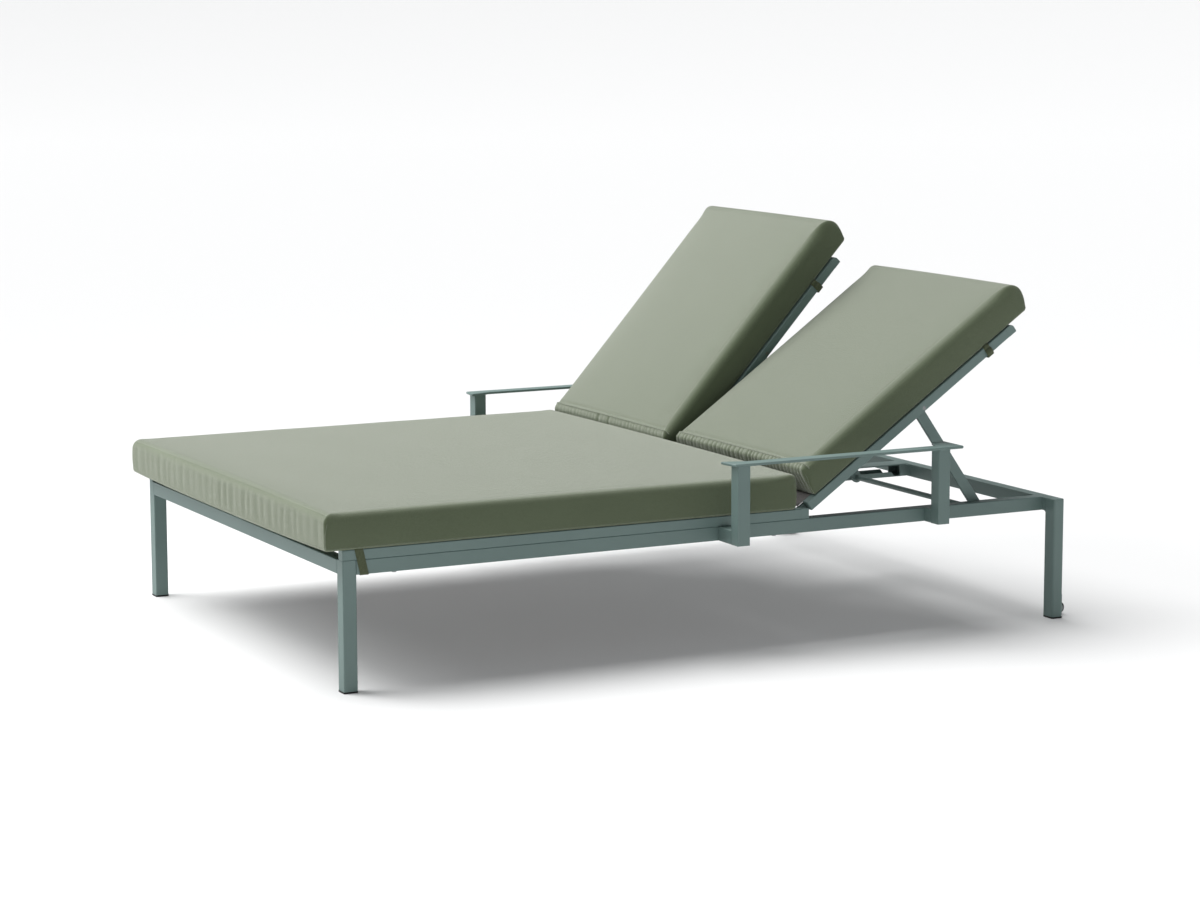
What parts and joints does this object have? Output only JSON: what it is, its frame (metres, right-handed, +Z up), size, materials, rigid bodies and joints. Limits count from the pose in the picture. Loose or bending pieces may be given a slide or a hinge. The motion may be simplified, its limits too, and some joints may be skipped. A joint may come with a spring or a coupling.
{
  "type": "double chaise lounger",
  "caption": "Double chaise lounger: a wide powder-coated frame with a padded seat, arms, and two backs that recline one by one on hinged props.",
  "frame": {"origin": "on the floor, under the middle of the whole lounger as it stands", "axes": "+X from the foot end to the head end, +Y to the occupant's right, +Z up"},
  "size_m": [2.072, 1.552, 0.9886],
  "materials": {
    "frame_coat": "matt powder coat, sage teal",
    "glide_plastic": "moulded black plastic",
    "roller_plastic": "moulded black plastic",
    "fastener_steel": "plain stainless fasteners",
    "sling_mesh": "woven coated yarn sling, taupe grey",
    "cushion_fabric": "plain woven outdoor fabric, sage green",
    "strap_webbing": "webbing of the cushion's fabric, olive"
  },
  "bodies": {
    "base": {"arm_foot_post_left": "frame_coat", "arm_foot_post_right": "frame_coat", "arm_head_post_left": "frame_coat", "arm_head_post_right": "frame_coat", "arm_plate_left": "frame_coat", "arm_plate_right": "frame_coat", "arm_stubs": "frame_coat", "centre_gussets": "frame_coat", "centre_rail": "frame_coat", "foot_crossbar": "frame_coat", "foot_glides": "glide_plastic", "foot_leg_left": "frame_coat", "foot_leg_right": "frame_coat", "head_crossbar": "frame_coat", "head_glides": "glide_plastic", "head_leg_left": "frame_coat", "head_leg_right": "frame_coat", "hinge_blocks": "frame_coat", "hinge_bolts": "fastener_steel", "roller_axles": "fastener_steel", "roller_brackets": "frame_coat", "seat_bolts": "fastener_steel", "seat_centre_rail": "frame_coat", "seat_cushion": "cushion_fabric", "seat_foot_tubes": "frame_coat", "seat_head_tubes": "frame_coat", "seat_rail_caps": "frame_coat", "seat_rail_left": "frame_coat", "seat_rail_right": "frame_coat", "seat_sling_left": "sling_mesh", "seat_sling_right": "sling_mesh", "seat_straps": "strap_webbing", "side_rail_left": "frame_coat", "side_rail_right": "frame_coat"},
    "left_roller": {"roller_left": "roller_plastic"},
    "right_roller": {"roller_right": "roller_plastic"},
    "left_back": {"left_back_bottom_tube": "frame_coat", "left_back_cushion": "cushion_fabric", "left_back_end_caps": "frame_coat", "left_back_hinge_eyes": "frame_coat", "left_back_inner_tube": "frame_coat", "left_back_outer_tube": "frame_coat", "left_back_sling": "sling_mesh", "left_back_straps": "strap_webbing", "left_back_top_tube": "frame_coat", "left_prop_pins": "fastener_steel"},
    "left_prop": {"left_prop_legs": "frame_coat", "left_prop_foot_rod": "frame_coat"},
    "right_back": {"right_back_bottom_tube": "frame_coat", "right_back_cushion": "cushion_fabric", "right_back_end_caps": "frame_coat", "right_back_hinge_eyes": "frame_coat", "right_back_inner_tube": "frame_coat", "right_back_outer_tube": "frame_coat", "right_back_sling": "sling_mesh", "right_back_straps": "strap_webbing", "right_back_top_tube": "frame_coat", "right_prop_pins": "fastener_steel"},
    "right_prop": {"right_prop_legs": "frame_coat", "right_prop_foot_rod": "frame_coat"}
  },
  "joints": [
    {"name": "left_back_hinge", "type": "hinge", "parent": "base", "child": "left_back", "pos_m": [0.25, -0.34, 0.33], "axis": [0, -1, 0], "range_deg": [-34.56, 13.04]},
    {"name": "left_prop_pivot", "type": "hinge", "parent": "left_back", "child": "left_prop", "pos_m": [0.59861, -0.34, 0.57135], "axis": [0, 1, 0], "range_deg": [-73.6, 28.4]},
    {"name": "right_back_hinge", "type": "hinge", "parent": "base", "child": "right_back", "pos_m": [0.25, 0.34, 0.33], "axis": [0, -1, 0], "range_deg": [-47.6, 0]},
    {"name": "right_prop_pivot", "type": "hinge", "parent": "right_back", "child": "right_prop", "pos_m": [0.53517, 0.34, 0.64378], "axis": [0, 1, 0], "range_deg": [-113.3, 1]},
    {"name": "left_roller_spin", "type": "hinge", "parent": "base", "child": "left_roller", "pos_m": [1.02, -0.68, 0.018], "axis": [0, 1, 0], "continuous": true},
    {"name": "right_roller_spin", "type": "hinge", "parent": "base", "child": "right_roller", "pos_m": [1.02, 0.68, 0.018], "axis": [0, 1, 0], "continuous": true}
  ],
  "couplings": [
    {"joint": "left_prop_pivot", "follows": "left_back_hinge", "ratio": 2.1},
    {"joint": "right_prop_pivot", "follows": "right_back_hinge", "ratio": 2.36}
  ]
}
